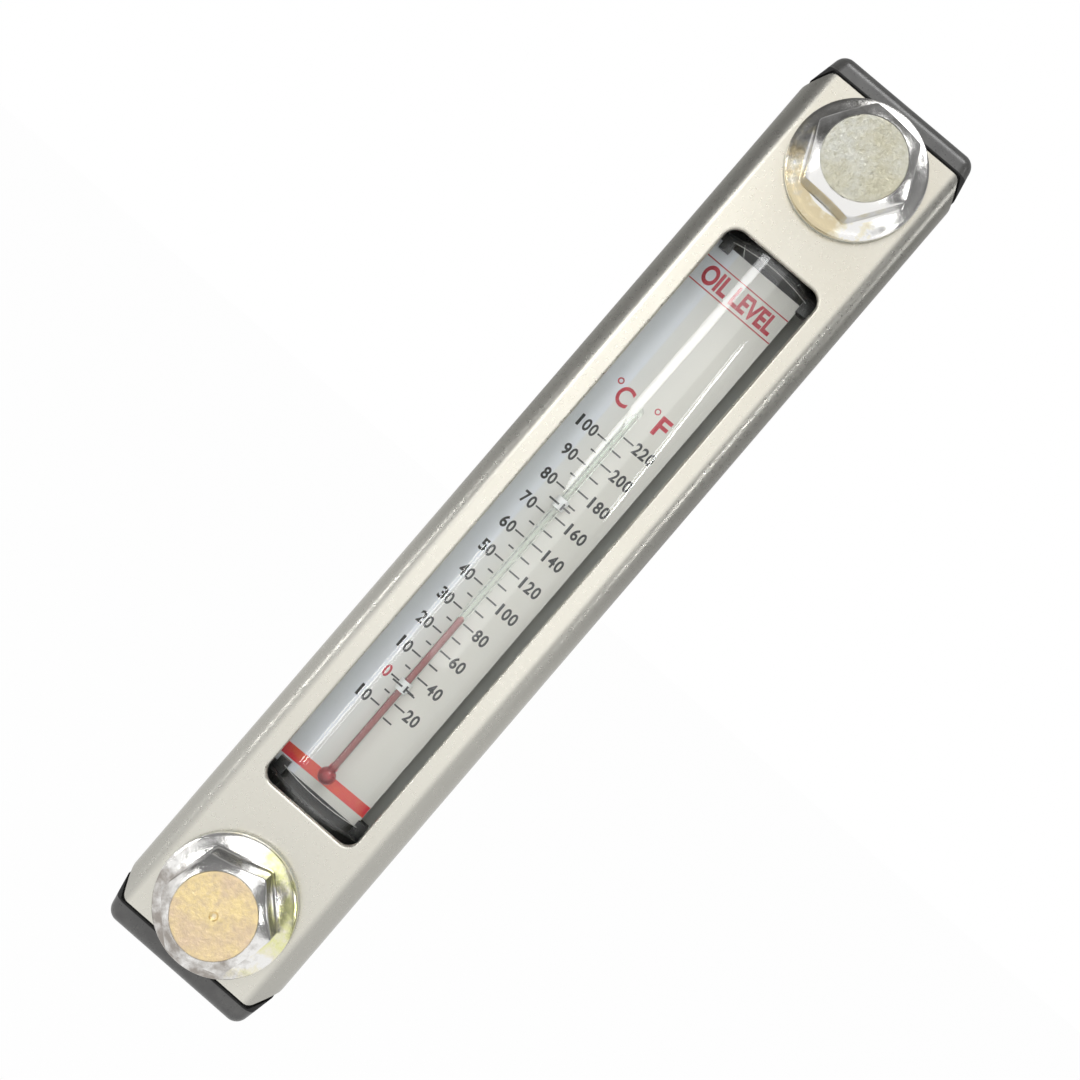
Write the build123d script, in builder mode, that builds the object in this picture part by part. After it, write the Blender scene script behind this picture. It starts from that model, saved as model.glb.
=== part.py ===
from build123d import *
import os
from math import sqrt

# Tank level gauge with a built-in thermometer, held to a tank wall by two hollow bolts.
# Millimetres. The wall is the plane Y = 0, the gauge stands in front of it (-Y), its studs
# pass through the wall (+Y), and its long axis is Z. The origin is on the wall, midway
# between the two bolts. A "depth" is always a distance from the wall towards the front.

# ---------------------------------------------------------------- driving dimensions
# Overall
bolt_spacing = 160.0            # between the axes of the two bolts
body_depth = 20.0               # from the wall to the face of the cover

# Cover, one folded sheet
cover_width = 32.5
cover_beyond_bolt = 10.55       # from a bolt's axis to the end of the cover
sheet = 1.2
bend_radius = 3.8               # outside of the two long bends
flank_clearance = 0.5           # between the cover's rear edges and the wall
corner_cut_width = 2.6          # the cut at each corner of the blank, across the gauge
corner_cut_length = 4.6         # and along it
corner_rounding = 1.6
window_from_bolt = 19.55        # from a bolt's axis to the window
window_width = 19.6
window_corner_radius = 2.5
window_rim = 0.45               # rounding of the window's front edge

# End blocks, moulded
block_clearance = 0.05          # between block and cover, on each side
bore_clearance = 0.3            # around the bolt
cap_length = 4.45               # how far the cap stands out past the cover's end
cap_step = 0.8                  # how far the cap stays behind the face of the cover
cap_gap = 0.6                   # open joint between the cap and the cover's edge
cap_taper = 1.9                 # how much narrower each side of the cap is at its end
cap_corner_radius = 2.4
cap_front_radius = 2.3
shoulder_wall = 1.5             # between the rear seal and the shoulder that the tube meets
passage_diameter = 4.4          # oil way from the bolt to the tube

# Spigot of an end block
spigot_length = 8.4
spigot_lead_in = 0.35           # bevel round its end
spigot_clearance = 0.1
groove_depth = 1.5
groove_width = 2.6
groove_setback = 4.6            # from the shoulder to the middle of the groove
finger_side_gap = 1.8           # between a finger and the inside of the tube
finger_width = 1.9
finger_length = 2.5
finger_thickness = 1.2

# Sight tube, a rounded D in section
tube_side_gap = 1.05            # between its sides and the inside of the cover
tube_crown_gap = 0.3            # between its crown and the inside of the cover
tube_wall = 2.0
tube_back = 2.0                 # depth of its flat back
tube_arch_rise = 8.25           # from its shoulders to its crown
tube_corner_radius = 4.5
tube_end_gap = 0.1

# Scale plate
plate_below_crown = 7.3         # from the tube's crown to the printed face
plate_thickness = 0.5
plate_play = 1.79               # free width in the tube, on each side
plate_side_gap = 0.13           # what is left of it on the side that the plate leans to
plate_end_gap = 1.15            # between the plate and the end of a spigot
plate_corner_radius = 0.4
strap_width = 2.1
strap_thickness = 0.35
strap_slit = 0.25
upper_strap_above_bulb = 60.7
lower_strap_above_bulb = 19.95

# Thermometer
bulb_diameter = 3.1
bulb_above_plate_end = 3.75
stem_beside_middle = 0.22       # from the middle of the plate to the stem
bulb_gap = 0.05                 # between the bulb and the plate
stem_diameter = 1.6
stem_length = 82.1              # from the middle of the bulb to the top
glass_wall = 0.4
glass_tip = 1.4                 # solid glass above the capillary
spirit_length = 35.35           # from the middle of the bulb to the top of the column

# Hollow bolts, M12 with a flange under a 17 mm hexagon
stud_diameter = 12.0
stud_beyond_wall = 16.0
stud_tip_chamfer = 1.2
flange_diameter = 24.0
flange_rim = 1.2
flange_rise = 1.0               # height of the cone between rim and hexagon
flange_rounding = 0.4
hexagon = 17.0                  # across flats
head_height = 8.8               # from the seat of the flange to the top of the head
head_bevel = 1.3                # from a flat to the disc on top of the head
upper_hexagon_turn = 4.0        # degrees, as the bolts were left when tightened
lower_hexagon_turn = 15.5
waist_cut = 1.5                 # how deep the bolt is turned down between wall and oil way
waist_beyond_passage = 4.0      # from the middle of the oil way to the end of that waist
bolt_bore = 5.0
cross_bore = 4.0

# Washers and seals, drawn as they are when the bolts are tight
head_washer_thickness = 1.0
head_washer_clearance = 0.2
bolt_ring_section = 2.5
bolt_ring_thickness = 2.0
rear_seal_clearance = 0.7       # between the seal and the stud
rear_seal_section = 3.8
rear_seal_thickness = 2.0
seal_rounding = 0.4

# ---------------------------------------------------------------- what follows from them
half_spacing = bolt_spacing / 2
cover_length = bolt_spacing + 2 * cover_beyond_bolt
window_length = bolt_spacing - 2 * window_from_bolt
inside_width = cover_width - 2 * sheet
inside_depth = body_depth - sheet
inside_bend = bend_radius - sheet

head_washer_bore = stud_diameter + 2 * head_washer_clearance
bolt_ring_diameter = stud_diameter + 2 * bolt_ring_section
rear_seal_bore = stud_diameter + 2 * rear_seal_clearance
rear_seal_diameter = rear_seal_bore + 2 * rear_seal_section
seat_depth = body_depth + head_washer_thickness
head_top = seat_depth + head_height

block_width = inside_width - 2 * block_clearance
block_bore = stud_diameter + 2 * bore_clearance
block_beyond_bolt = cover_beyond_bolt + cap_length
shoulder_before_bolt = rear_seal_diameter / 2 + shoulder_wall
spigot_end = shoulder_before_bolt + spigot_length
spigot_inset = tube_wall + spigot_clearance

tube_width = inside_width - 2 * tube_side_gap
tube_crown = inside_depth - tube_crown_gap
tube_length = 2 * (half_spacing - shoulder_before_bolt - tube_end_gap)
tube_arch_radius = ((tube_width / 2) ** 2 + tube_arch_rise**2) / (2 * tube_arch_rise)
tube_arch_centre = tube_crown - tube_arch_radius

plate_depth = tube_crown - plate_below_crown
plate_back = plate_depth - plate_thickness
plate_room = sqrt((tube_arch_radius - tube_wall) ** 2 - (plate_depth - tube_arch_centre) ** 2)
plate_width = 2 * (plate_room - plate_play)
plate_length = 2 * (half_spacing - spigot_end - plate_end_gap)
plate_x = plate_side_gap - plate_play
finger_spacing = 2 * (plate_room - finger_side_gap) - finger_width
passage_depth = (tube_back + spigot_inset + plate_back) / 2

stem_x = plate_x + stem_beside_middle
stem_depth = plate_depth + bulb_gap + bulb_diameter / 2
bulb_height = bulb_above_plate_end - plate_length / 2
stem_top = bulb_height + stem_length
strap_heights = (bulb_height + upper_strap_above_bulb, bulb_height + lower_strap_above_bulb)

os.makedirs("parts", exist_ok=True)


def level_plane(height):
    """A cross-section at a height: local x is X, local y is depth, and extrude goes down."""
    return Plane(origin=(0, 0, height), x_dir=(1, 0, 0), z_dir=(0, 0, -1))


def across(end_plane, along):
    """A cross-section of an end, at a distance from its bolt away from the gauge's middle."""
    return Plane(
        origin=end_plane.from_local_coords((0, along, 0)),
        x_dir=end_plane.x_dir,
        z_dir=-end_plane.y_dir,
    )


def cut_corners(half_width, end):
    """Corner points of one end of the cover's outline, from local y = 0 and round to it again."""
    return (
        (half_width, 0),
        (half_width, end - corner_cut_length),
        (half_width - corner_cut_width, end),
        (corner_cut_width - half_width, end),
        (-half_width, end - corner_cut_length),
        (-half_width, 0),
    )


def tube_section(inset):
    """The rounded D of the sight tube, drawn a given distance inside its outer skin."""
    half = tube_width / 2 - inset
    radius = tube_arch_radius - inset
    shoulder = tube_arch_centre + sqrt(radius**2 - half**2)
    rear = tube_back + inset
    with BuildSketch() as section:
        with BuildLine():
            Polyline((-half, shoulder), (-half, rear), (half, rear), (half, shoulder))
            ThreePointArc((half, shoulder), (0, tube_arch_centre + radius), (-half, shoulder))
        make_face()
        fillet(section.vertices(), tube_corner_radius - inset)
    return section.sketch


# ---------------------------------------------------------------- cover
with BuildPart() as cover:
    with BuildSketch(level_plane(cover_length / 2)):
        with Locations((0, flank_clearance)):
            flank_depth = body_depth - flank_clearance
            outside = Rectangle(cover_width, flank_depth, align=(Align.CENTER, Align.MIN))
        fillet(outside.vertices().group_by(Axis.Y)[-1], bend_radius)
        with BuildSketch(mode=Mode.SUBTRACT):
            inside = Rectangle(inside_width, inside_depth, align=(Align.CENTER, Align.MIN))
            fillet(inside.vertices().group_by(Axis.Y)[-1], inside_bend)
    extrude(amount=cover_length)
    # the blank's cut corners shorten the flanks and leave a tongue over each end block
    with BuildSketch(Plane.XZ) as blank:
        with BuildLine():
            Polyline(*cut_corners(cover_width / 2, cover_length / 2), close=True)
        make_face()
        mirror(about=Plane.XZ)
        fillet(blank.vertices(), corner_rounding)
    extrude(amount=body_depth, mode=Mode.INTERSECT)
    with BuildSketch(Plane.XZ.offset(inside_depth)):
        RectangleRounded(window_width, window_length, window_corner_radius)
        with GridLocations(0, bolt_spacing, 1, 2):
            Circle(block_bore / 2)
    extrude(amount=sheet, mode=Mode.SUBTRACT)
    face = cover.faces().sort_by(Axis.Y)[0]
    fillet(face.inner_wires().sort_by(SortBy.LENGTH)[-1].edges(), window_rim)
cover.part.label = "cover"
export_step(cover.part, "parts/cover.step")

# ---------------------------------------------------------------- sight tube
with BuildPart() as sight_tube:
    with BuildSketch(level_plane(tube_length / 2)):
        add(tube_section(0))
        add(tube_section(tube_wall), mode=Mode.SUBTRACT)
    extrude(amount=tube_length)
sight_tube.part.label = "sight_tube"
export_step(sight_tube.part, "parts/sight_tube.step")

# ---------------------------------------------------------------- scale plate
with BuildPart() as scale_plate:
    with BuildSketch(Plane.XZ.offset(plate_back)):
        with Locations((plate_x, 0)):
            RectangleRounded(plate_width, plate_length, plate_corner_radius)
        # the opening that each strap was lanced from
        with Locations(*[(stem_x, height) for height in strap_heights]):
            Rectangle(stem_diameter, strap_width + 2 * strap_slit, mode=Mode.SUBTRACT)
    extrude(amount=plate_thickness)
    # the straps, bridges pushed forward that hold the thermometer's stem
    for height in strap_heights:
        with BuildSketch(level_plane(height + strap_width / 2)):
            with Locations((stem_x, stem_depth)):
                Circle(stem_diameter / 2 + strap_thickness)
            with Locations((stem_x, plate_back)):
                Rectangle(
                    stem_diameter + 2 * strap_thickness,
                    stem_depth - plate_back,
                    align=(Align.CENTER, Align.MIN),
                )
                Rectangle(
                    stem_diameter,
                    stem_depth - plate_back,
                    align=(Align.CENTER, Align.MIN),
                    mode=Mode.SUBTRACT,
                )
            with Locations((stem_x, stem_depth)):
                Circle(stem_diameter / 2, mode=Mode.SUBTRACT)
        extrude(amount=strap_width)
scale_plate.part.label = "scale_plate"
export_step(scale_plate.part, "parts/scale_plate.step")

# ---------------------------------------------------------------- thermometer
stem_plane = Plane(origin=(stem_x, -stem_depth, 0), x_dir=(1, 0, 0), z_dir=(0, -1, 0))
stem_axis = Axis((stem_x, -stem_depth, 0), (0, 0, 1))
bore_radius = stem_diameter / 2 - glass_wall


def thermometer_profile(bulb_radius, stem_radius, top):
    """Half the outline of a stem with a round bulb at its foot and a round top."""
    neck = bulb_height + sqrt(bulb_radius**2 - stem_radius**2)
    with BuildSketch() as profile:
        with BuildLine():
            Line((0, bulb_height - bulb_radius), (0, top))
            ThreePointArc(
                (0, top),
                (stem_radius * sqrt(0.5), top - stem_radius * (1 - sqrt(0.5))),
                (stem_radius, top - stem_radius),
            )
            Line((stem_radius, top - stem_radius), (stem_radius, neck))
            ThreePointArc(
                (stem_radius, neck), (bulb_radius, bulb_height), (0, bulb_height - bulb_radius)
            )
        make_face()
    return profile.sketch


with BuildPart() as thermometer_glass:
    with BuildSketch(stem_plane):
        add(thermometer_profile(bulb_diameter / 2, stem_diameter / 2, stem_top))
        add(
            thermometer_profile(bulb_diameter / 2 - glass_wall, bore_radius, stem_top - glass_tip),
            mode=Mode.SUBTRACT,
        )
    revolve(axis=stem_axis)
thermometer_glass.part.label = "thermometer_glass"
export_step(thermometer_glass.part, "parts/thermometer_glass.step")

with BuildPart() as thermometer_spirit:
    with BuildSketch(stem_plane):
        add(
            thermometer_profile(
                bulb_diameter / 2 - glass_wall, bore_radius, bulb_height + spirit_length
            )
        )
    revolve(axis=stem_axis)
thermometer_spirit.part.label = "thermometer_spirit"
export_step(thermometer_spirit.part, "parts/thermometer_spirit.step")

# ---------------------------------------------------------------- the two ends
# Both ends have the same pieces, turned half a turn about the gauge's depth axis. At each
# end, local x runs across, local y runs along the gauge and away from its middle, and
# local z is depth.
for end, side, hexagon_turn in (("upper", 1, upper_hexagon_turn), ("lower", -1, lower_hexagon_turn)):
    wall = Plane(origin=(0, 0, side * half_spacing), x_dir=(side, 0, 0), z_dir=(0, -1, 0))
    bolt_axis = Axis(wall.origin, wall.z_dir)

    # end block: a cap that shows past the cover, a body inside the cover, and a spigot
    with BuildPart() as end_block:
        taper_start = cover_beyond_bolt - corner_cut_length
        with BuildSketch(wall):
            with BuildLine():
                Polyline(
                    (-cover_width / 2, 0),
                    (cover_width / 2, 0),
                    (cover_width / 2, taper_start),
                    (cover_width / 2 - cap_taper, block_beyond_bolt),
                    (cap_taper - cover_width / 2, block_beyond_bolt),
                    (-cover_width / 2, taper_start),
                    close=True,
                )
            cap_outline = make_face()
            fillet(cap_outline.vertices().group_by(Axis.Y)[-1], cap_corner_radius)
        extrude(amount=body_depth - cap_step)
        front = end_block.faces().sort_by(Axis.Y)[0]
        fillet(front.edges().sort_by(Axis(wall.origin, wall.y_dir))[1:], cap_front_radius)
        with BuildSketch(wall):
            # half the gap at the sides keeps the joint even along the cut corners
            with BuildLine():
                opening = cut_corners((cover_width + cap_gap) / 2, cover_beyond_bolt + cap_gap)
                Polyline(*opening, close=True)
            make_face()
        extrude(amount=body_depth, mode=Mode.SUBTRACT)
        with BuildSketch(across(wall, cover_beyond_bolt + cap_gap)):
            body = Rectangle(block_width, inside_depth, align=(Align.CENTER, Align.MIN))
            fillet(body.vertices().group_by(Axis.Y)[-1], inside_bend)
        extrude(amount=cover_beyond_bolt + cap_gap + shoulder_before_bolt)
        with BuildSketch(across(wall, -shoulder_before_bolt)):
            add(tube_section(spigot_inset))
        extrude(amount=spigot_length)
        spigot_end_face = end_block.faces().sort_by(Axis(wall.origin, wall.y_dir))[0]
        chamfer(spigot_end_face.edges(), spigot_lead_in)
        # groove for the ring that seals the tube
        with BuildSketch(across(wall, groove_width / 2 - shoulder_before_bolt - groove_setback)):
            add(tube_section(spigot_inset))
            add(tube_section(spigot_inset + groove_depth), mode=Mode.SUBTRACT)
        extrude(amount=groove_width, mode=Mode.SUBTRACT)
        # fingers in front of and behind the end of the scale plate
        with BuildSketch(across(wall, -spigot_end)):
            with GridLocations(finger_spacing, 0, 2, 1):
                with Locations((0, plate_depth)):
                    Rectangle(finger_width, finger_thickness, align=(Align.CENTER, Align.MIN))
                with Locations((0, plate_back)):
                    Rectangle(finger_width, finger_thickness, align=(Align.CENTER, Align.MAX))
        extrude(amount=finger_length)
        # bolt bore, with a recess for a seal at each end of it
        with BuildSketch(wall):
            Circle(block_bore / 2)
        extrude(amount=inside_depth, mode=Mode.SUBTRACT)
        with BuildSketch(wall):
            Circle(rear_seal_diameter / 2)
        extrude(amount=rear_seal_thickness, mode=Mode.SUBTRACT)
        with BuildSketch(wall.offset(inside_depth)):
            Circle(bolt_ring_diameter / 2)
        extrude(amount=-bolt_ring_thickness, mode=Mode.SUBTRACT)
        # oil way from the bolt into the tube, behind the scale plate
        with BuildSketch(across(wall, 0)):
            with Locations((0, passage_depth)):
                Circle(passage_diameter / 2)
        extrude(amount=spigot_end + finger_length, mode=Mode.SUBTRACT)
    end_block.part.label = f"{end}_end_block"
    export_step(end_block.part, f"parts/{end}_end_block.step")

    # ring that seals the tube on the spigot
    with BuildPart() as tube_ring:
        with BuildSketch(across(wall, groove_width / 2 - shoulder_before_bolt - groove_setback)):
            add(tube_section(tube_wall))
            add(tube_section(spigot_inset + groove_depth), mode=Mode.SUBTRACT)
        extrude(amount=groove_width)
        fillet(tube_ring.edges().filter_by(Axis.Z, reverse=True), seal_rounding)
    tube_ring.part.label = f"{end}_tube_ring"
    export_step(tube_ring.part, f"parts/{end}_tube_ring.step")

    # hollow bolt
    with BuildPart() as bolt:
        with BuildSketch(wall.offset(seat_depth)):
            RegularPolygon(hexagon / 2, 6, major_radius=False, rotation=30 - hexagon_turn)
        extrude(amount=head_height)
        axial = across(wall, 0)
        corner_radius = hexagon / sqrt(3)
        disc_radius = hexagon / 2 - head_bevel
        bevel_drop = (corner_radius - disc_radius) / sqrt(3)
        with BuildSketch(axial):
            with BuildLine():
                Polyline(
                    (0, seat_depth),
                    (corner_radius, seat_depth),
                    (corner_radius, head_top - bevel_drop),
                    (disc_radius, head_top),
                    (0, head_top),
                    close=True,
                )
            make_face()
        revolve(axis=bolt_axis, mode=Mode.INTERSECT)
        stud = stud_diameter / 2
        waist = stud - waist_cut
        waist_front = passage_depth + waist_beyond_passage
        with BuildSketch(axial) as turned:
            with BuildLine():
                Polyline(
                    (0, seat_depth + flange_rim + flange_rise),
                    (corner_radius, seat_depth + flange_rim + flange_rise),
                    (flange_diameter / 2, seat_depth + flange_rim),
                    (flange_diameter / 2, seat_depth),
                    (stud, seat_depth),
                    (stud, waist_front),
                    (waist, waist_front),
                    (waist, 0),
                    (stud, 0),
                    (stud, stud_tip_chamfer - stud_beyond_wall),
                    (stud - stud_tip_chamfer, -stud_beyond_wall),
                    (0, -stud_beyond_wall),
                    close=True,
                )
            make_face()
            fillet(turned.vertices().group_by(Axis.X)[-1], flange_rounding)
        revolve(axis=bolt_axis)
        with BuildSketch(wall.offset(-stud_beyond_wall)):
            Circle(bolt_bore / 2)
        extrude(amount=stud_beyond_wall + passage_depth, mode=Mode.SUBTRACT)
        for drilled in (wall.x_dir, wall.y_dir):
            with BuildSketch(Plane(wall.from_local_coords((0, 0, passage_depth)), z_dir=drilled)):
                Circle(cross_bore / 2)
            extrude(amount=stud, both=True, mode=Mode.SUBTRACT)
    bolt.part.label = f"{end}_bolt"
    export_step(bolt.part, f"parts/{end}_bolt.step")

    # pale washer under the bolt's flange
    with BuildPart() as head_washer:
        with BuildSketch(wall.offset(body_depth)):
            Circle(flange_diameter / 2)
            Circle(head_washer_bore / 2, mode=Mode.SUBTRACT)
        extrude(amount=head_washer_thickness)
    head_washer.part.label = f"{end}_head_washer"
    export_step(head_washer.part, f"parts/{end}_head_washer.step")

    # ring that seals the bolt behind the cover
    with BuildPart() as bolt_ring:
        with BuildSketch(wall.offset(inside_depth - bolt_ring_thickness)):
            Circle(bolt_ring_diameter / 2)
            Circle(stud_diameter / 2, mode=Mode.SUBTRACT)
        extrude(amount=bolt_ring_thickness)
        fillet(bolt_ring.edges().filter_by(GeomType.CIRCLE), seal_rounding)
    bolt_ring.part.label = f"{end}_bolt_ring"
    export_step(bolt_ring.part, f"parts/{end}_bolt_ring.step")

    # seal against the tank wall
    with BuildPart() as rear_seal:
        with BuildSketch(wall):
            Circle(rear_seal_diameter / 2)
            Circle(rear_seal_bore / 2, mode=Mode.SUBTRACT)
        extrude(amount=rear_seal_thickness)
        fillet(rear_seal.edges().filter_by(GeomType.CIRCLE), seal_rounding)
    rear_seal.part.label = f"{end}_rear_seal"
    export_step(rear_seal.part, f"parts/{end}_rear_seal.step")
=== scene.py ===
import math

import bmesh
import bpy
from mathutils import Matrix, Quaternion, Vector


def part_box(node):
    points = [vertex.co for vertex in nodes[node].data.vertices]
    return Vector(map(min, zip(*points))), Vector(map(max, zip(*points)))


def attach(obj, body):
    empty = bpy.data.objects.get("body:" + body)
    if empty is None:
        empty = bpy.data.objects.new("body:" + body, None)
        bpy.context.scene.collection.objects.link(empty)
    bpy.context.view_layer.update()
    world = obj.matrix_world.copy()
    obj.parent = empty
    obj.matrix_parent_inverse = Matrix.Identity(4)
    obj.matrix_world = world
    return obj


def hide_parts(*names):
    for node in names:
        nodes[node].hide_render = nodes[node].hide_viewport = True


# A tank level gauge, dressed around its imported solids, in their frame: the tank wall is Y = 0,
# the gauge faces -Y, its long axis is Z and its middle is Z = 0.
# Sizes and places on the gauge are in millimetres, and MM turns them into Blender's metres.
# A depth is a distance from the wall forwards. The floor and the lamps are placed in metres.

MM = 0.001
BODY = "root"

# ------------------------------------------------------------------ the frame
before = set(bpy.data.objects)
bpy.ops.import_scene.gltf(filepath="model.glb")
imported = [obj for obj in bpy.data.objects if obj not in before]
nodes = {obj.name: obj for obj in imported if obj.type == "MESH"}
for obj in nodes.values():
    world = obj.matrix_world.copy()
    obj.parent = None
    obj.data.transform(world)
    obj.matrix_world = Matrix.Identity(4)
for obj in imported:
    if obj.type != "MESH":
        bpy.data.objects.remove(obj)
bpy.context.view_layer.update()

plate_low, plate_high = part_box("scale_plate")
cover_low, cover_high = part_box("cover")
glass_low, glass_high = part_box("thermometer_glass")
tube_low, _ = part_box("sight_tube")

PLATE_DEPTH = 11.2                  # of the plate's printed face
PLATE_TOP = plate_high.z / MM
PLATE_BOTTOM = plate_low.z / MM
PLATE_WIDTH = (plate_high.x - plate_low.x) / MM
PLATE_MIDDLE = (plate_low.x + plate_high.x) / 2 / MM
STEM_MIDDLE = (glass_low.x + glass_high.x) / 2 / MM
STEM_FRONT = -glass_low.y / MM      # depth of the thermometer's foremost point
BULB_HEIGHT = (glass_low.z + (glass_high.x - glass_low.x) / 2) / MM

# ------------------------------------------------------------------ bolt sizes
BOLT_HEIGHT = 80.0                  # above or below the gauge's middle
SEAT_DEPTH = 21.0
HEAD_TOP = 29.8
DISC_RADIUS = 7.2                   # flat top of the head, inside the bevel
DIMPLE = -0.22                      # beside the middle of the lower bolt's head
BEVEL_SLOPE = math.tan(math.radians(30))
HEXAGON = 17.0                      # across flats
CORNER_ROUNDING = 0.7
FLANGE_RADIUS = 12.0
FLANGE_RIM = 1.2
FLANGE_RISE = 1.0
FLANGE_TOP = SEAT_DEPTH + FLANGE_RIM + FLANGE_RISE
CONE_START = 8.6                    # radius at which the flange starts to fall away
STUD_RADIUS = 6.0
STUD_BEYOND_WALL = 16.0
WAIST_RADIUS = 4.5
WAIST_FRONT = 11.4
TIP_CHAMFER = 1.2
BORE_RADIUS = 2.5
BORE_DEPTH = 7.4
DRILL_POINT = 1.2
CROSS_BORE_RADIUS = 2.0
CROSS_BORE_LENGTH = 14.0
PITCH = 1.5
THREAD_DEPTH = 0.9
THREAD_START = 0.4                  # beyond the wall
THREAD_RUN_OUT = 1.2
THREAD_ROWS = 84
SEGMENTS = 144                      # round the bolt


# ------------------------------------------------------------------ small tools
def link(obj):
    bpy.context.scene.collection.objects.link(obj)
    return obj


def mesh_object(name, bm):
    """A new object from a bmesh, shaded smooth across gentle edges."""
    mesh = bpy.data.meshes.new(name)
    bm.to_mesh(mesh)
    bm.free()
    mesh.shade_smooth()
    mesh.set_sharp_from_angle(angle=math.radians(28))
    return link(bpy.data.objects.new(name, mesh))


def dress(obj, material):
    """Gives an object one material in all its slots."""
    obj.data.materials.clear()
    obj.data.materials.append(material)
    return obj


def piece(obj, material):
    """Finishes a new piece of the gauge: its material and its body."""
    dress(obj, material)
    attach(obj, BODY)
    return obj


class Shader:
    """A node material under construction, with object coordinates in metres."""

    def __init__(self, name):
        self.material = bpy.data.materials.new(name)
        self.material.use_nodes = True
        self.tree = self.material.node_tree
        self.nodes = self.tree.nodes
        self.bsdf = self.nodes["Principled BSDF"]
        self.output = self.nodes["Material Output"]
        self.place = self.nodes.new("ShaderNodeTexCoord").outputs["Object"]

    def set(self, **values):
        for name, value in values.items():
            self.bsdf.inputs[name.replace("_", " ")].default_value = value

    def join(self, source, target):
        self.tree.links.new(source, target)

    def noise(self, scale, detail=3.0, roughness=0.5):
        """A noise pattern: scale is in features a millimetre."""
        texture = self.nodes.new("ShaderNodeTexNoise")
        texture.inputs["Scale"].default_value = scale / MM
        texture.inputs["Detail"].default_value = detail
        texture.inputs["Roughness"].default_value = roughness
        self.join(self.place, texture.inputs["Vector"])
        return texture.outputs["Fac"]

    def ramp(self, source, stops):
        """Colours or greys along a value: stops are (position, colour)."""
        ramp = self.nodes.new("ShaderNodeValToRGB")
        elements = ramp.color_ramp.elements
        while len(elements) < len(stops):
            elements.new(0.5)
        for element, (position, colour) in zip(elements, stops):
            element.position = position
            element.color = (*colour, 1.0)
        self.join(source, ramp.inputs["Fac"])
        return ramp.outputs["Color"]

    def grey_ramp(self, source, low, high):
        return self.ramp(source, [(0.3, (low,) * 3), (0.7, (high,) * 3)])

    def math(self, operation, *values):
        """One sum: each value is a socket or a number."""
        node = self.nodes.new("ShaderNodeMath")
        node.operation = operation
        for socket, value in zip(node.inputs, values):
            if isinstance(value, (int, float)):
                socket.default_value = value
            else:
                self.join(value, socket)
        return node.outputs[0]

    def step(self, source, start, end):
        """0 to 1 as a value goes from start to end, and no further at either side."""
        step = self.nodes.new("ShaderNodeMapRange")
        step.inputs["From Min"].default_value = start
        step.inputs["From Max"].default_value = end
        self.join(source, step.inputs["Value"])
        return step.outputs["Result"]

    def measure(self, axis, origin=0.0):
        """Millimetres along an axis from an origin in millimetres."""
        split = self.nodes.new("ShaderNodeSeparateXYZ")
        self.join(self.place, split.inputs[0])
        return self.math("SUBTRACT", self.math("DIVIDE", split.outputs[axis], MM), origin)

    def depth(self):
        """Millimetres from the wall forwards."""
        return self.math("MULTIPLY", self.measure("Y"), -1.0)

    def both(self, first, second):
        """The product of two values: a mask where both masks are."""
        return self.math("MULTIPLY", first, second)

    def mix(self, factor, first, second):
        """A mix of two colours, each a socket or an RGB triple."""
        mix = self.nodes.new("ShaderNodeMix")
        mix.data_type = "RGBA"
        for name, value in (("A", first), ("B", second)):
            socket = [s for s in mix.inputs if s.name == name and s.type == "RGBA"][0]
            if isinstance(value, tuple):
                socket.default_value = (*value, 1.0)
            else:
                self.join(value, socket)
        self.join(factor, mix.inputs["Factor"])
        return [s for s in mix.outputs if s.type == "RGBA"][0]

    def colour(self, source):
        self.join(source, self.bsdf.inputs["Base Color"])

    def rough(self, source):
        self.join(source, self.bsdf.inputs["Roughness"])

    def blend(self, factor, first, second):
        """A mix of two shaders by a factor."""
        blend = self.nodes.new("ShaderNodeMixShader")
        self.join(factor, blend.inputs["Fac"])
        self.join(first, blend.inputs[1])
        self.join(second, blend.inputs[2])
        return blend.outputs["Shader"]

    def let_light_through(self):
        """Clear for lamps and bounced light, so that what is inside is lit, and glass to the eye."""
        path = self.nodes.new("ShaderNodeLightPath")
        lit = self.math("MAXIMUM", path.outputs["Is Shadow Ray"], path.outputs["Is Diffuse Ray"])
        clear = self.nodes.new("ShaderNodeBsdfTransparent")
        clear.inputs["Color"].default_value = (0.96, 0.97, 0.96, 1.0)
        return self.blend(lit, self.bsdf.outputs["BSDF"], clear.outputs["BSDF"])

    def finish(self, shader):
        """Gives the material this surface instead of the principled shader alone."""
        self.join(shader, self.output.inputs["Surface"])

    def bump(self, source, depth, normal=None):
        """Fine relief, depth in millimetres."""
        bump = self.nodes.new("ShaderNodeBump")
        bump.inputs["Strength"].default_value = 1.0
        bump.inputs["Distance"].default_value = depth * MM
        self.join(source, bump.inputs["Height"])
        if normal:
            self.join(normal, bump.inputs["Normal"])
        self.join(bump.outputs["Normal"], self.bsdf.inputs["Normal"])
        return bump.outputs["Normal"]


# ------------------------------------------------------------------ materials
def darker(colour, share):
    return tuple(channel * share for channel in colour)


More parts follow.
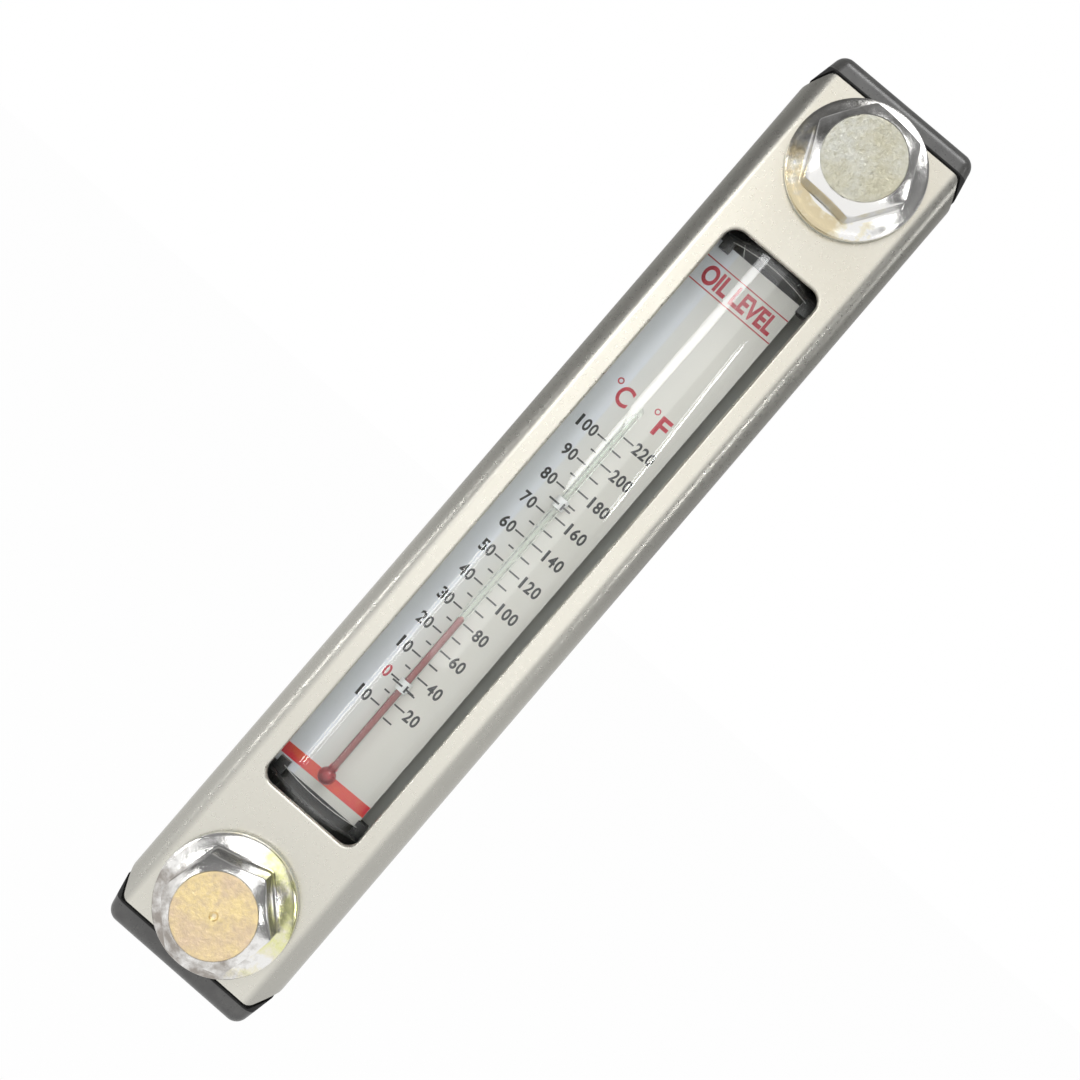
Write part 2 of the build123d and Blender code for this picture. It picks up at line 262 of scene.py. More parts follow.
def painted_sheet():
    """Silver-cream paint on sheet metal: satin, a little cloudy, with painted shade making it darker
    towards the top and darker round the bends.
    """
    bend_start, bend_end = 12.3, 13.5
    s = Shader("silver_cream_paint")
    s.set(Metallic=0.85)
    upwards = s.step(s.measure("Z"), cover_low.z / MM, cover_high.z / MM)
    # painted shade: the paint is darker towards the top, where the key lamp falls most strongly
    shaded_towards_top = s.mix(upwards, (0.70, 0.68, 0.61), (0.57, 0.54, 0.462))
    cloud = s.grey_ramp(s.noise(0.12, 4.0, 0.55), 0.0, 0.25)
    front = s.mix(cloud, shaded_towards_top, (0.68, 0.67, 0.61))
    # painted shade: the paint turns darker grey round the bends, standing in for their dim
    # reflection
    painted_shade_at_bend = s.step(s.math("ABSOLUTE", s.measure("X")), bend_start, bend_end)
    s.colour(s.mix(painted_shade_at_bend, front, (0.47, 0.46, 0.42)))
    s.rough(s.grey_ramp(s.noise(1.2), 0.26, 0.32))
    s.bump(s.noise(0.5, 1.0), 0.0006)
    return s.material


def black_moulding():
    """Satin black plastic: greyer on the caps as a painted sheen, and a painted shadow, deep black,
    in the joint beside the cover's edge.
    """
    joint_start, cap_start = 84.0, 91.4
    s = Shader("black_moulding")
    distance = s.math("ABSOLUTE", s.measure("Z"))
    # painted shadow: near-black colour in the joint between the cover's edge and the cap
    painted_shadow_in_joint = s.both(
        s.step(distance, cap_start + 0.1, cap_start),
        s.step(distance, joint_start, joint_start + 0.5),
    )
    plain = s.ramp(s.noise(0.5), [(0.35, (0.006, 0.006, 0.006)), (0.7, (0.012, 0.012, 0.012))])
    # painted sheen: the caps beyond the cover get a greyer colour for their soft highlight
    painted_sheen_on_caps = s.ramp(s.noise(0.5), [(0.35, (0.060, 0.059, 0.057)), (0.7, (0.085, 0.084, 0.080))])
    shades = s.mix(s.step(distance, cap_start, cap_start + 0.1), plain, painted_sheen_on_caps)
    s.colour(s.mix(painted_shadow_in_joint, shades, (0.001, 0.001, 0.001)))
    s.rough(s.mix(painted_shadow_in_joint, s.grey_ramp(s.noise(1.5), 0.26, 0.36), (0.9, 0.9, 0.9)))
    s.set(Specular_IOR_Level=0.9)
    s.bump(s.noise(1.5, 1.0), 0.001)
    return s.material


def black_rubber():
    s = Shader("black_rubber")
    s.colour(s.ramp(s.noise(1.0), [(0.3, (0.016, 0.016, 0.016)), (0.7, (0.03, 0.03, 0.03))]))
    s.rough(s.grey_ramp(s.noise(2.0), 0.5, 0.65))
    s.bump(s.noise(5.0), 0.01)
    return s.material


def clear_acrylic():
    """Clear moulded tube, with a matt back that hides what stands behind it."""
    matt_behind = 4.3
    s = Shader("clear_acrylic")
    s.set(Base_Color=(0.97, 0.98, 0.97, 1.0), Roughness=0.02, IOR=1.49, Transmission_Weight=1.0)
    clear = s.let_light_through()
    matt = s.nodes.new("ShaderNodeBsdfDiffuse")
    matt.inputs["Color"].default_value = (0.70, 0.70, 0.68, 1.0)
    at_back = s.step(s.depth(), matt_behind + 0.1, matt_behind - 0.1)
    s.finish(s.blend(at_back, clear, matt.outputs["BSDF"]))
    return s.material


def thermometer_glass():
    """Faintly green glass, red round the bulb."""
    s = Shader("thermometer_glass")
    at_bulb = s.step(s.measure("Z", BULB_HEIGHT), 2.6, 1.6)
    in_stem = s.ramp(s.noise(1.0), [(0.3, (0.88, 0.92, 0.89)), (0.7, (0.92, 0.94, 0.91))])
    s.colour(s.mix(at_bulb, in_stem, (0.95, 0.10, 0.16)))
    s.set(Roughness=0.03, IOR=1.5, Transmission_Weight=1.0)
    s.finish(s.let_light_through())
    return s.material


def red_spirit():
    """Dark red in the bulb, paler in the thin column."""
    s = Shader("red_spirit")
    column = s.ramp(s.noise(1.5), [(0.3, (0.50, 0.10, 0.11)), (0.7, (0.58, 0.17, 0.17))])
    in_bulb = s.step(s.measure("Z", BULB_HEIGHT), 2.2, 1.2)
    s.colour(s.mix(in_bulb, column, (0.34, 0.0, 0.01)))
    s.set(Roughness=0.15)
    return s.material


def printed_plate():
    """Pale grey plate with painted light across it: paler and bluish towards its left edge as
    painted light and a painted reflection, and whiter straps as painted highlights.
    """
    strap_depth = 11.5
    s = Shader("printed_plate")
    across = s.step(s.measure("X"), plate_low.x / MM, plate_high.x / MM)
    # painted light: paler and bluish at the left, where the cover's edge shades the plate and a
    # bluish reflection lies, and lighter again at the right
    painted_light_tint = s.ramp(across, [
        (0.00, (0.93, 0.96, 1.00)),
        (0.26, (0.90, 0.92, 1.00)),
        (0.285, (0.84, 0.83, 0.82)),
        (0.50, (0.80, 0.77, 0.73)),
        (0.78, (0.83, 0.80, 0.75)),
        (1.00, (0.88, 0.85, 0.81)),
    ])
    painted_light_tint = s.mix(s.grey_ramp(s.noise(0.15), 0.0, 0.2), painted_light_tint, (0.80, 0.80, 0.75))
    # painted highlight: the straps' fronts are made white
    painted_highlight_on_strap = s.step(s.depth(), strap_depth, strap_depth + 0.4)
    s.colour(s.mix(painted_highlight_on_strap, painted_light_tint, (1.0, 1.0, 1.0)))
    s.rough(s.grey_ramp(s.noise(1.0), 0.4, 0.5))
    s.bump(s.noise(3.0), 0.004)
    return s.material


def ink(name, colour, patch=None):
    """Matt ink, a little uneven or with patches of a second colour."""
    s = Shader(name)
    if patch:
        s.colour(s.ramp(s.noise(0.4), [(0.35, colour), (0.65, patch)]))
    else:
        s.colour(s.ramp(s.noise(1.5), [(0.35, darker(colour, 0.8)), (0.65, colour)]))
    s.set(Roughness=0.45)
    return s.material


def ragged_side(s, across, along, degrees, scale):
    """A value that grows towards one side of a bolt, with a cloudy edge."""
    growth_a_millimetre = 0.022
    angle = math.radians(degrees)
    towards = s.math("MULTIPLY", across, math.cos(angle))
    towards = s.math("ADD", towards, s.math("MULTIPLY", along, math.sin(angle)))
    towards = s.math("MULTIPLY", towards, growth_a_millimetre)
    return s.math("ADD", towards, s.noise(scale, 4.0, 0.6))


def plated_steel(name, height, disc_colours, stain, darker_side):
    """Zinc plating on a bolt, with a rougher disc on the head.

    The disc has two colours. The last two arguments are each (the side they are on in degrees,
    colour): a yellowish stain on the flange, and a darker colour spreading towards its side. The
    hexagon's flats carry painted shade.
    """
    s = Shader(name)
    s.set(Metallic=1.0)
    across = s.measure("X")
    along = s.measure("Z", height)
    depth = s.depth()
    squares = s.math("ADD", s.both(across, across), s.both(along, along))
    radius = s.math("POWER", squares, 0.5)
    on_disc = s.both(
        s.step(radius, DISC_RADIUS + 0.1, DISC_RADIUS - 0.1),
        s.step(depth, HEAD_TOP - 0.3, HEAD_TOP - 0.2),
    )
    on_flange = s.both(s.step(radius, 8.4, 9.2), s.step(depth, FLANGE_TOP + 0.3, FLANGE_TOP))
    # painted shade: the hexagon's flats are darker grey
    painted_shade_on_flats = s.both(
        s.step(depth, FLANGE_TOP + 0.1, FLANGE_TOP + 0.4),
        s.step(depth, HEAD_TOP - 1.2, HEAD_TOP - 1.6),
    )
    painted_shade_on_flats = s.both(painted_shade_on_flats, s.step(radius, 8.0, 8.3))

    stained = s.both(ragged_side(s, across, along, stain[0], 0.22), on_flange)
    metal = s.ramp(stained, [
        (0.54, (0.88, 0.87, 0.85)),
        (0.60, (0.86, 0.82, 0.68)),
        (0.74, stain[1]),
    ])
    # darker towards one side of the bolt
    on_darker_side = s.step(ragged_side(s, across, along, darker_side[0], 0.30), 0.50, 0.78)
    metal = s.mix(on_darker_side, metal, darker_side[1])
    metal = s.mix(painted_shade_on_flats, metal, (0.50, 0.50, 0.49))

    clouds = s.step(s.noise(0.16, 4.0, 0.6), 0.42, 0.62)
    bruises = s.math("MULTIPLY", s.step(s.noise(0.8, 4.0, 0.7), 0.42, 0.66), 0.7)
    disc = s.mix(clouds, *disc_colours)
    disc = s.mix(bruises, disc, darker(disc_colours[1], 0.86))
    s.colour(s.mix(on_disc, metal, disc))

    polished = s.grey_ramp(s.noise(0.7, 4.0, 0.6), 0.14, 0.24)
    hammered = s.grey_ramp(s.noise(0.9, 5.0, 0.6), 0.30, 0.46)
    s.rough(s.mix(on_disc, polished, hammered))
    dents = s.bump(s.noise(0.45, 5.0, 0.7), 0.05)
    s.bump(s.both(s.noise(1.1, 3.0, 0.6), on_disc), 0.28, dents)
    return s.material


def nylon():
    s = Shader("nylon")
    s.colour(s.ramp(s.noise(0.8), [(0.3, (0.62, 0.60, 0.50)), (0.7, (0.70, 0.68, 0.58))]))
    s.rough(s.grey_ramp(s.noise(2.0), 0.45, 0.6))
    s.set(Subsurface_Weight=0.1)
    return s.material


BLACK_INK = ink("black_ink", (0.02, 0.02, 0.022))
RED_INK = ink("red_ink", (0.62, 0.03, 0.06))
BAND_INK = ink("band_ink", (0.86, 0.03, 0.06), (0.90, 0.11, 0.05))
# painted highlight: pale ink for fine lines in the tube that stand in for bright edges and streaks
HIGHLIGHT_INK = ink("tube_highlight_ink", (0.75, 0.75, 0.72))
STEEL = {
    "upper": plated_steel(
        "upper_plated_steel",
        BOLT_HEIGHT,
        disc_colours=((0.50, 0.50, 0.45), (0.45, 0.43, 0.33)),
        stain=(-115, (0.70, 0.60, 0.40)),
        darker_side=(140, (0.50, 0.49, 0.47)),
    ),
    "lower": plated_steel(
        "lower_plated_steel",
        -BOLT_HEIGHT,
        disc_colours=((0.88, 0.71, 0.38), (0.78, 0.61, 0.43)),
        stain=(35, (0.80, 0.80, 0.42)),
        darker_side=(-110, (0.36, 0.33, 0.30)),
    ),
}


def dress_nodes():
    """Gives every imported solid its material."""
    dress(nodes["cover"], painted_sheet())
    dress(nodes["sight_tube"], clear_acrylic())
    dress(nodes["scale_plate"], printed_plate())
    dress(nodes["thermometer_glass"], thermometer_glass())
    dress(nodes["thermometer_spirit"], red_spirit())
    moulding = black_moulding()
    rubber = black_rubber()
    washer = nylon()
    for end, steel in STEEL.items():
        dress(nodes[f"{end}_end_block"], moulding)
        dress(nodes[f"{end}_bolt"], steel)
        dress(nodes[f"{end}_head_washer"], washer)
        for ring in ("bolt_ring", "tube_ring", "rear_seal"):
            dress(nodes[f"{end}_{ring}"], rubber)


dress_nodes()

# ------------------------------------------------------------------ print on the scale plate
# heights, widths and places across the plate are in millimetres
PRINT_THICKNESS = 0.03
STRAP_PRINT_DEPTH = STEM_FRONT + 0.235  # just in front of the straps
MM_PER_DEGREE_C = 0.54
HEIGHT_OF_ZERO_C = BULB_HEIGHT + 19.95
STRAP_DEGREES = (0, 75)

TICK_THICKNESS = 0.3
C_TICK_START = PLATE_MIDDLE - 0.85  # inner end of the Celsius ticks
C_TICK, C_SHORT_TICK = 1.88, 1.1
F_TICK_START = PLATE_MIDDLE + 0.85
F_TICK, F_SHORT_TICK = 2.3, 1.95

C_LABEL_END = PLATE_MIDDLE - 3.0
F_LABEL_START = PLATE_MIDDLE + 3.44
LABEL_HEIGHT = 2.3
LABEL_WEIGHT = 0.028
DIGIT_WIDTH = 1.2
DIGIT_PITCH = 1.38
ONE_WIDTH = 0.5                     # the digit 1, and its inset in its cell
ONE_INSET = 0.3

UNIT_LEVEL = 27.1
UNIT_HEIGHT = 3.75
DEGREE_SIGN_WIDTH = 1.1
DEGREE_SIGN_HEIGHT = 1.2
DEGREE_SIGN_LEVEL = UNIT_LEVEL + 1.7
TITLE_LEVEL = PLATE_TOP - 5.9
TITLE_WIDTH = 15.0
TITLE_HEIGHT = 3.7
RED_LINE_LEVELS = (PLATE_TOP - 3.4, PLATE_TOP - 8.4)
RED_LINE_THICKNESS = 0.22
RED_LINE_LENGTH = PLATE_WIDTH - 0.1
BAND_LEVEL = PLATE_BOTTOM + 2.85
BAND_HEIGHT = 2.15
BAND_TILT = math.radians(1.2)


def add_slab(bm, x, z, width, height, depth=PLATE_DEPTH, tilt=0.0):
    """A thin rectangle of ink, by its middle and its size, with its back at a depth."""
    place = Matrix.Translation(Vector((x, -depth - PRINT_THICKNESS / 2, z)) * MM)
    size = Matrix.Diagonal((width * MM, PRINT_THICKNESS * MM, height * MM, 1.0))
    bmesh.ops.create_cube(bm, size=1.0, matrix=place @ Matrix.Rotation(tilt, 4, "Y") @ size)


def height_of_c(degrees):
    return HEIGHT_OF_ZERO_C + degrees * MM_PER_DEGREE_C


def height_of_f(degrees):
    return height_of_c((degrees - 32) / 1.8)


def frozen(obj):
    """An object as a plain mesh, after its modifiers or its curve."""
    return bpy.data.meshes.new_from_object(obj.evaluated_get(bpy.context.evaluated_depsgraph_get()))


def glyphs(text, left, width, z, height, weight):
    """Bold letters as a thin mesh on the plate, stretched to a width and a height."""
    curve = bpy.data.curves.new("glyphs", "FONT")
    curve.body = text
    curve.extrude = 0.5
    curve.offset = weight
    curve.resolution_u = 8
    holder = link(bpy.data.objects.new("glyphs", curve))
    bpy.context.view_layer.update()
    mesh = frozen(holder)
    bpy.data.objects.remove(holder)
    xs = [v.co.x for v in mesh.vertices]
    ys = [v.co.y for v in mesh.vertices]
    for vertex in mesh.vertices:
        across = (vertex.co.x - min(xs)) / (max(xs) - min(xs))
        up = (vertex.co.y - min(ys)) / (max(ys) - min(ys))
        depth = PLATE_DEPTH + PRINT_THICKNESS * (vertex.co.z + 0.5)
        vertex.co = Vector((left + across * width, -depth, z + (up - 0.5) * height)) * MM
    mesh.flip_normals()
    return mesh


def number(value, z, left=None, right=None):
    """The digits of a number, each in a cell of the same width."""
    text = str(value)
    if left is None:
        left = right - DIGIT_WIDTH - DIGIT_PITCH * (len(text) - 1)
    for place, digit in enumerate(text):
        cell = left + place * DIGIT_PITCH
        if digit == "1":
            yield glyphs(digit, cell + ONE_INSET, ONE_WIDTH, z, LABEL_HEIGHT, LABEL_WEIGHT)
        else:
            yield glyphs(digit, cell, DIGIT_WIDTH, z, LABEL_HEIGHT, LABEL_WEIGHT)


def printed(name, slabs, letters, material):
    """One piece of print, from slabs as add_slab takes them and from lettering meshes."""
    bm = bmesh.new()
    for slab in slabs:
        add_slab(bm, *slab)
    for mesh in letters:
        bm.from_mesh(mesh)
    return piece(mesh_object(name, bm), material)


def c_ticks():
    for degrees in range(-10, 101, 5):
        length = C_TICK if degrees % 10 == 0 else C_SHORT_TICK
        yield (C_TICK_START - length / 2, height_of_c(degrees), length, TICK_THICKNESS)


def f_ticks():
    for degrees in range(10, 221, 10):
        length = F_TICK if degrees % 20 == 0 else F_SHORT_TICK
        yield (F_TICK_START + length / 2, height_of_f(degrees), length, TICK_THICKNESS)


def c_labels():
    for degrees in range(-10, 101, 10):
        if degrees:
            yield from number(abs(degrees), height_of_c(degrees), right=C_LABEL_END)


def f_labels():
    for degrees in range(20, 221, 20):
        yield from number(degrees, height_of_f(degrees), left=F_LABEL_START)


def strap_marks():
    """Over each strap the two scales' ticks, and an upright dark mark beside the stem, a painted
    shadow of the gap between the strap and the stem.
    """
    for degrees in STRAP_DEGREES:
        z = height_of_c(degrees)
        yield (STEM_MIDDLE - 1.05, z, 2.0, 0.34, STRAP_PRINT_DEPTH)
        # painted shadow: the upright mark stands for the dark gap beside the stem
        yield (STEM_MIDDLE + 0.70, z, 0.34, 1.3, STRAP_PRINT_DEPTH)
        yield (STEM_MIDDLE + 1.55, z, 1.5, 0.34, STRAP_PRINT_DEPTH)


def unit_and_title_letters():
    sign = (DEGREE_SIGN_WIDTH, DEGREE_SIGN_LEVEL, DEGREE_SIGN_HEIGHT, 0.0)
    yield glyphs("°", PLATE_MIDDLE - 6.0, *sign)
    yield glyphs("C", PLATE_MIDDLE - 4.7, 2.7, UNIT_LEVEL, UNIT_HEIGHT, 0.02)
    yield glyphs("°", PLATE_MIDDLE + 2.0, *sign)
    yield glyphs("F", PLATE_MIDDLE + 3.7, 2.2, UNIT_LEVEL, UNIT_HEIGHT, 0.025)
    yield from number(0, height_of_c(0), right=C_LABEL_END)
    yield glyphs("OIL LEVEL", PLATE_MIDDLE - 6.9, TITLE_WIDTH, TITLE_LEVEL, TITLE_HEIGHT, 0.035)


printed("scale_black", [*c_ticks(), *f_ticks()], [*c_labels(), *f_labels()], BLACK_INK)
printed("strap_marks", strap_marks(), [], BLACK_INK)

# ------------------------------------------------------------------ fine lines in the tube: painted highlights
TUBE_ARCH_RADIUS = 16.0
TUBE_ARCH_CENTRE = -tube_low.y / MM - TUBE_ARCH_RADIUS
ARC_INSET = 2.06                   # from the tube's outer skin
ARC_HALF_WIDTH = 7.6
ARC_STEPS = 40
STREAK_DEPTH = 15.2


def bead(name, points, radius):
    """A fine round line through a row of places."""
    curve = bpy.data.curves.new(name, "CURVE")
    curve.dimensions = "3D"
    curve.bevel_depth = radius * MM
    curve.bevel_resolution = 2
    spline = curve.splines.new("POLY")
    spline.points.add(len(points) - 1)
    for knot, point in zip(spline.points, points):
        knot.co = (*(Vector(point) * MM), 1.0)
    holder = link(bpy.data.objects.new(name, curve))
    mesh = frozen(holder)
    bpy.data.objects.remove(holder)
    mesh.shade_smooth()
    return piece(link(bpy.data.objects.new(name, mesh)), HIGHLIGHT_INK)


def seam(name, height, sag):
    """A pale line across the inside of the tube's arch: a painted highlight where the end's edge
    catches the light.
    """
    points = []
    for step in range(ARC_STEPS + 1):
        x = -ARC_HALF_WIDTH + 2 * ARC_HALF_WIDTH * step / ARC_STEPS
        depth = TUBE_ARCH_CENTRE + math.sqrt((TUBE_ARCH_RADIUS - ARC_INSET) ** 2 - x**2)
        points.append((x, -depth, height - sag * (x / ARC_HALF_WIDTH) ** 2))
    bead(name, points, 0.07)


seam("upper_highlight_arc", 59.3, 0.45)
seam("lower_highlight_arc", -57.9, -0.2)
# painted highlight: a short pale streak on the tube's left shoulder, near its top end
STREAK_POINTS = ((-5.9, 59.6), (-5.5, 58.9), (-4.9, 58.0), (-4.5, 57.2))
bead("highlight_streak", [(x, -STREAK_DEPTH, z) for x, z in STREAK_POINTS], 0.05)

# ------------------------------------------------------------------ print in red
red_lines = [(PLATE_MIDDLE, z, RED_LINE_LENGTH, RED_LINE_THICKNESS) for z in RED_LINE_LEVELS]
band = (PLATE_MIDDLE, BAND_LEVEL, RED_LINE_LENGTH, BAND_HEIGHT, PLATE_DEPTH, -BAND_TILT)
printed("scale_red", red_lines, unit_and_title_letters(), RED_INK)
printed("low_level_band", [band], [], BAND_INK)

# ------------------------------------------------------------------ bolts
def hexagon_radius(angle):
    """From the axis to the rounded hexagon, for an angle from the middle of a flat."""
    flat = HEXAGON / 2
    angle = abs((angle + math.pi / 6) % (math.pi / 3) - math.pi / 6)
    corner = (flat - CORNER_ROUNDING) / math.cos(math.pi / 6)
    if angle <= math.atan2(corner / 2, flat):
        return flat / math.cos(angle)
    off = math.pi / 6 - angle
    return corner * math.cos(off) + math.sqrt(CORNER_ROUNDING**2 - (corner * math.sin(off))**2)


def flange_depth(radius):
    """The front of the flange: a shallow cone, hollowed a little."""
    out = (radius - CONE_START) / (FLANGE_RADIUS - CONE_START)
    out = min(1.0, max(0.0, out))
    return SEAT_DEPTH + FLANGE_RIM + FLANGE_RISE * (1 - out) ** 1.25


def head_top_profile(dimple):
    """(radius, lift) over the head's slightly hollow top, with a centre dimple or without."""
    if dimple:
        middle = [(0.35, DIMPLE), (0.6, -0.16), (0.8, 0.05), (1.1, 0.06), (1.4, 0.0)]
    else:
        middle = [(0.35, 0), (1.4, 0)]
    return [*middle, (3.0, -0.03), (5.0, -0.05), (6.6, -0.02), (7.0, 0.0)]


def head_rings(turn, dimple):
    """(radius, depth) round the head, from the middle of its top out to the seat."""
    for radius, lift in head_top_profile(dimple):
        yield lambda angle, r=radius, d=lift: (r, HEAD_TOP + d)
    for inward, fall in ((0.05, 0.03), (-0.12, 0.1)):
        yield lambda angle, i=inward, f=fall: (DISC_RADIUS - i, HEAD_TOP - f)

    def edge(angle, inward, down):
        radius = hexagon_radius(angle - turn)
        return radius - inward, HEAD_TOP - (radius - DISC_RADIUS) * BEVEL_SLOPE - down

    def foot(angle, outward, rise):
        radius = hexagon_radius(angle - turn) + outward
        return radius, flange_depth(radius) + rise

    for inward, down in ((0.28, -0.16), (0.10, -0.03), (0.0, 0.14), (0.0, 0.4)):
        yield lambda angle, i=inward, d=down: edge(angle, i, d)
    for outward, rise in ((0.0, 0.55), (0.06, 0.22), (0.22, 0.06), (0.5, 0.0)):
        yield lambda angle, o=outward, r=rise: foot(angle, o, r)
    for radius in (10.6, 11.0, 11.4):
        yield lambda angle, r=radius: (r, flange_depth(r))
    for inward, fall in ((0.35, -0.02), (0.15, 0.08), (0.03, 0.25), (0.0, 0.5)):
        yield lambda angle, i=inward, f=fall: (FLANGE_RADIUS - i, SEAT_DEPTH + FLANGE_RIM - f)
    yield lambda angle: (FLANGE_RADIUS, SEAT_DEPTH + 0.15)
    yield lambda angle: (FLANGE_RADIUS - 0.15, SEAT_DEPTH)


def thread_radius(angle, depth):
    """The flanks of the thread, at a depth from the wall, run out at both ends."""
    wave = (depth / PITCH + angle / (2 * math.pi)) % 1.0
    groove = max(0.0, min(1.0, 1.35 - abs(2 * wave - 1) * 1.5))
    run_out = max(0.0, min(1.0, (-depth - THREAD_START) / THREAD_RUN_OUT))
    radius = STUD_RADIUS - THREAD_DEPTH * groove * run_out
    tip = STUD_RADIUS - TIP_CHAMFER + (STUD_BEYOND_WALL + depth)
    return min(radius, tip)


def stud_rings():
    """(radius, depth) round the stud, from the seat to its tip and up the bore."""
    plain = [
        (STUD_RADIUS, SEAT_DEPTH),
        (STUD_RADIUS, WAIST_FRONT),
        (WAIST_RADIUS, WAIST_FRONT),
        (WAIST_RADIUS, 0.4),
        (WAIST_RADIUS + 0.05, 0.1),
        (STUD_RADIUS - 0.3, 0.0),
        (STUD_RADIUS, -0.3),
    ]
    for radius, depth in plain:
        yield lambda angle, r=radius, d=depth: (r, d)
    for row in range(1, THREAD_ROWS + 1):
        depth = -THREAD_START - (STUD_BEYOND_WALL - THREAD_START) * row / THREAD_ROWS
        yield lambda angle, d=depth: (thread_radius(angle, d), d)
    bore = [
        (BORE_RADIUS + 0.3, -STUD_BEYOND_WALL),
        (BORE_RADIUS, -STUD_BEYOND_WALL + 0.3),
        (BORE_RADIUS, BORE_DEPTH),
    ]
    for radius, depth in bore:
        yield lambda angle, r=radius, d=depth: (r, d)


def bolt_mesh(height, turn, dimple):
    """A closed surface of rings round the bolt's axis."""
    bm = bmesh.new()
    rings = []
    for ring in [*head_rings(turn, dimple), *stud_rings()]:
        row = []
        for step in range(SEGMENTS):
            angle = 2 * math.pi * step / SEGMENTS
            radius, depth = ring(angle)
            x, z = radius * math.cos(angle), height + radius * math.sin(angle)
            row.append(bm.verts.new((x * MM, -depth * MM, z * MM)))
        rings.append(row)
    for first, second in zip(rings, rings[1:]):
        for step in range(SEGMENTS):
            following = (step + 1) % SEGMENTS
            bm.faces.new((first[step], first[following], second[following], second[step]))
    top = HEAD_TOP + (DIMPLE - 0.02 if dimple else 0)
    for row, depth in ((rings[0], top), (rings[-1], BORE_DEPTH + DRILL_POINT)):
        middle = bm.verts.new((0, -depth * MM, height * MM))
        for step in range(SEGMENTS):
            bm.faces.new((middle, row[step], row[(step + 1) % SEGMENTS]))
    bmesh.ops.recalc_face_normals(bm, faces=bm.faces)
    return bm


def drilled(obj, height):
    """Cuts the two cross bores through the waist."""
    bm = bmesh.new()
    place = Matrix.Translation((0, -BORE_DEPTH * MM, height * MM))
    for turn in (Matrix.Rotation(math.pi / 2, 4, "Y"), Matrix.Identity(4)):
        bmesh.ops.create_cone(
            bm,
            cap_ends=True,
            segments=40,
            radius1=CROSS_BORE_RADIUS * MM,
            radius2=CROSS_BORE_RADIUS * MM,
            depth=CROSS_BORE_LENGTH * MM,
            matrix=place @ turn,
        )
    cutter = mesh_object("cutter", bm)
    cut = obj.modifiers.new("cross_bores", "BOOLEAN")
    cut.operation = "DIFFERENCE"
    cut.solver = "EXACT"
    cut.use_self = True
    cut.object = cutter
    result = frozen(obj)
    obj.modifiers.clear()
    obj.data = result
    bpy.data.objects.remove(cutter)
    return obj


for end, height, turn, dimple in (
    ("upper", BOLT_HEIGHT, math.radians(-94.0), False),
    ("lower", -BOLT_HEIGHT, math.radians(105.5), True),
):
    bolt = mesh_object(f"threaded_{end}_bolt", bolt_mesh(height, turn, dimple))
    bolt = piece(drilled(bolt, height), STEEL[end])
    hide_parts(f"{end}_bolt")

# ------------------------------------------------------------------ stage, light and camera
FLOOR_HEIGHT = -0.165
FLOOR_HALF_SIZE = 6.0


def floor_material():
    """Plain white to the camera and in mirrors and glass, and a pale grey floor to the lamps."""
    s = Shader("pale_floor")
    s.set(Roughness=0.9)
    s.colour(s.ramp(s.noise(0.01), [(0.3, (0.86, 0.86, 0.86)), (0.7, (0.9, 0.9, 0.9))]))
    path = s.nodes.new("ShaderNodeLightPath")
    mirrored = s.math("MAXIMUM", path.outputs["Is Transmission Ray"], path.outputs["Is Glossy Ray"])
    seen = s.math("MAXIMUM", path.outputs["Is Camera Ray"], mirrored)
    white = s.nodes.new("ShaderNodeEmission")
    white.inputs["Color"].default_value = (1.0, 1.0, 1.0, 1.0)
    amount = s.math("MULTIPLY", seen, 0.985)
    s.finish(s.blend(amount, s.bsdf.outputs["BSDF"], white.outputs["Emission"]))
    return s.material


def white_floor():
    bm = bmesh.new()
    place = Matrix.Translation((0, 0, FLOOR_HEIGHT))
    bmesh.ops.create_grid(bm, x_segments=1, y_segments=1, size=FLOOR_HALF_SIZE, matrix=place)
    floor = dress(mesh_object("floor", bm), floor_material())


def studio_world():
    """White where the camera and clear pieces see it, and a dim studio for everything else."""
    world = bpy.data.worlds.new("studio")
    bpy.context.scene.world = world
    world.use_nodes = True
    tree = world.node_tree
    place = tree.nodes.new("ShaderNodeTexCoord")
    split = tree.nodes.new("ShaderNodeSeparateXYZ")
    tree.links.new(place.outputs["Generated"], split.inputs[0])
    backwards = tree.nodes.new("ShaderNodeMapRange")
    backwards.inputs["From Min"].default_value = -1.0
    tree.links.new(split.outputs["Y"], backwards.inputs["Value"])
    studio = tree.nodes.new("ShaderNodeValToRGB")
    studio.color_ramp.elements.new(0.5)
    stops = ((0.04, 0.28), (0.24, 0.14), (0.85, 0.5))
    for element, (position, grey) in zip(studio.color_ramp.elements, stops):
        element.position = position
        element.color = (grey, grey, grey, 1.0)
    tree.links.new(backwards.outputs["Result"], studio.inputs["Fac"])

    def strongest(first, second):
        node = tree.nodes.new("ShaderNodeMath")
        node.operation = "MAXIMUM"
        tree.links.new(first, node.inputs[0])
        tree.links.new(second, node.inputs[1])
        return node.outputs[0]

    path = tree.nodes.new("ShaderNodeLightPath")
    seen = strongest(path.outputs["Is Camera Ray"], path.outputs["Is Transmission Ray"])
    background = tree.nodes["Background"]
    background.inputs["Color"].default_value = (1.0, 1.0, 1.0, 1.0)
    tree.links.new(strongest(studio.outputs["Color"], seen), background.inputs["Strength"])


def softbox(name, place, width, height, radiance):
    """A rectangular lamp that faces the gauge, by the brightness of its face."""
    light = bpy.data.lights.new(name, "AREA")
    light.shape = "RECTANGLE"
    light.size = width
    light.size_y = height
    light.energy = radiance * math.pi * width * height
    lamp = link(bpy.data.objects.new(name, light))
    lamp.location = place
    lamp.rotation_euler = (-Vector(place)).to_track_quat("-Z", "Y").to_euler()
    return lamp


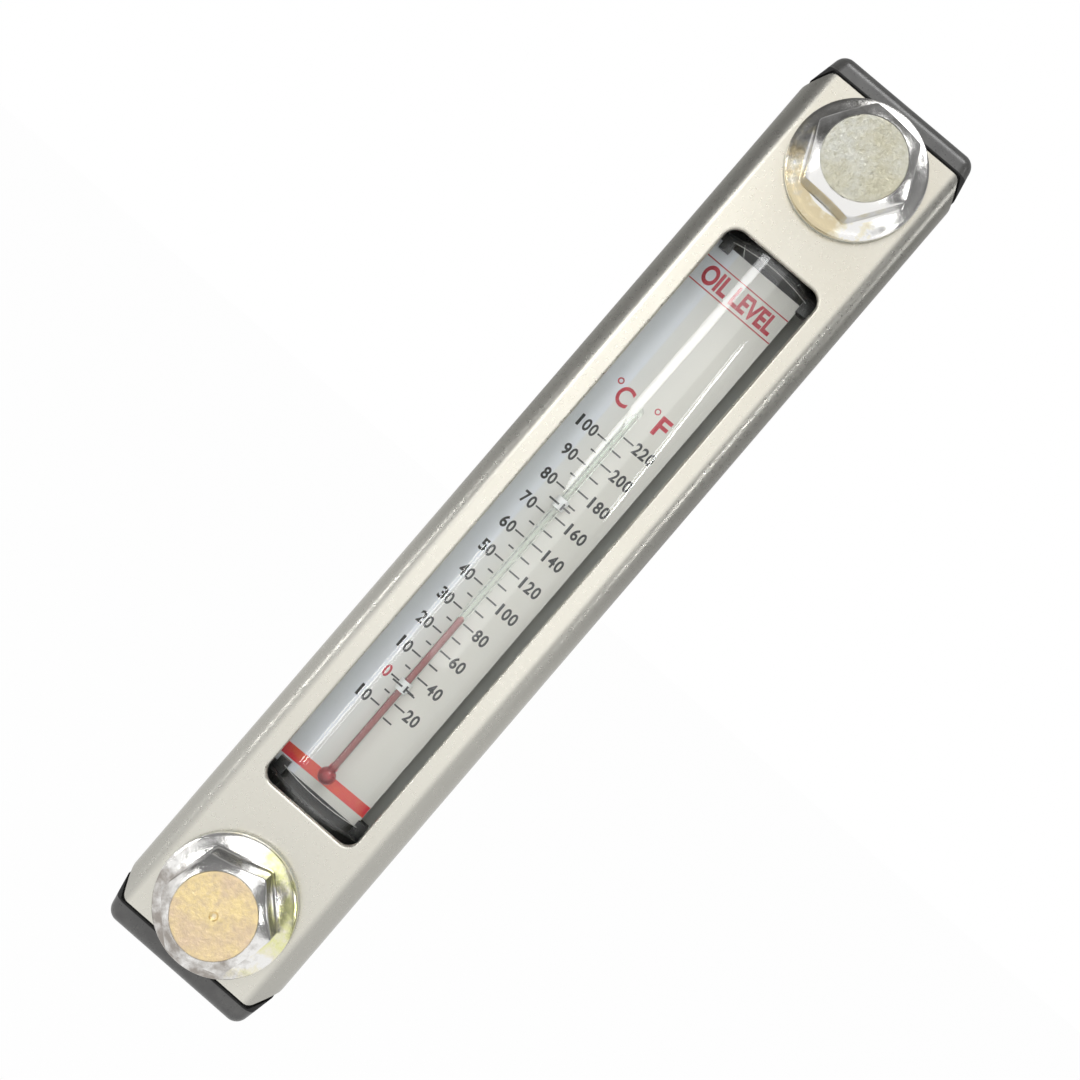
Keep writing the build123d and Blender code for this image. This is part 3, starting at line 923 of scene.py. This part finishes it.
def strip_lamp(name, start, end, width, radiance):
    """A thin lamp between two places, facing the gauge: it draws a line on the tube."""
    start = Vector(start)
    end = Vector(end)
    middle = (start + end) / 2
    lamp = softbox(name, middle, width, (end - start).length, radiance)
    away = middle.normalized()
    along = (end - start).normalized()
    across = along.cross(away).normalized()
    lamp.rotation_euler = Matrix((across, away.cross(across), away)).transposed().to_euler()


def photo_camera():
    """In front of the gauge, rolled, a little to the right of the gauge's middle and above it."""
    data = bpy.data.cameras.new("camera")
    data.sensor_width = 36.0
    data.lens = 55.66
    data.shift_x = -0.03232
    data.shift_y = -0.04128
    data.clip_start = 0.01
    camera = link(bpy.data.objects.new("camera", data))
    camera.location = (8.0 * MM, -297.2 * MM, 3.0 * MM)
    forward = Vector((-0.03, 1.0, 0.02))
    roll = Quaternion((0.0, 0.0, 1.0), math.radians(40.653))
    camera.rotation_euler = (forward.to_track_quat("-Z", "Y") @ roll).to_euler()
    bpy.context.scene.camera = camera


white_floor()
studio_world()
softbox("front", (0.0, -1.25, 0.0), 0.76, 2.40, 1.07)
softbox("above", (0.04, -0.52, 0.78), 0.60, 0.30, 5.2)
softbox("below", (0.04, -0.52, -0.78), 0.60, 0.30, 7.0)
strip_lamp("key", (-0.165, -0.50, 0.062), (-0.150, -0.50, 0.19), 0.100, 5.8)
strip_lamp("key_tail", (-0.180, -0.50, 0.02), (-0.172, -0.50, 0.062), 0.05, 6.0)
strip_lamp("upper_side", (0.62, -0.32, 0.24), (0.62, -0.32, 0.44), 0.10, 4.0)
strip_lamp("lower_side", (0.62, -0.32, -0.44), (0.62, -0.32, -0.24), 0.10, 3.0)
strip_lamp("right_line", (0.382, -0.396, 0.022), (0.297, -0.463, 0.127), 0.012, 24.0)
strip_lamp("left_line", (-0.385, -0.40, -0.165), (-0.400, -0.39, -0.025), 0.009, 24.0)
strip_lamp("left_line_2", (-0.410, -0.37, -0.165), (-0.425, -0.36, -0.025), 0.007, 20.0)
photo_camera()
bpy.context.scene.view_settings.view_transform = "Standard"
